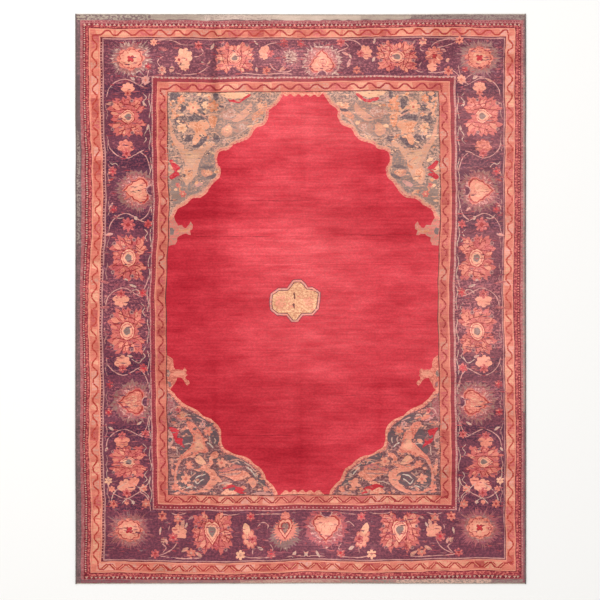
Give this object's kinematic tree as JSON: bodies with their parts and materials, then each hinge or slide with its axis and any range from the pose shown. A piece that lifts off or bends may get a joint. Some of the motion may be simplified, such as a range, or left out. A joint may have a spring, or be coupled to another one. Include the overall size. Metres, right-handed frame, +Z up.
{
  "type": "hand-knotted area rug",
  "caption": "Room-size hand-knotted wool rug with a red medallion field, scrolling corner pieces and a floral border, lying flat.",
  "frame": {"origin": "middle of the underside, on the floor", "axes": "+X across the rug, +Y along its length towards the end that is at the top of the picture, +Z up out of the pile"},
  "size_m": [3.6, 4.55, 0.008],
  "materials": {
    "wool_pile": "worn knotted wool pile, matte with a slight sheen",
    "selvedge_wool": "overcast wool yarn, matte",
    "binding_wool": "overcast wool yarn, matte"
  },
  "bodies": {
    "root": {"rug": "wool_pile", "selvedge_left": "selvedge_wool", "selvedge_right": "selvedge_wool", "end_binding_bottom": "binding_wool", "end_binding_top": "binding_wool"}
  },
  "joints": []
}
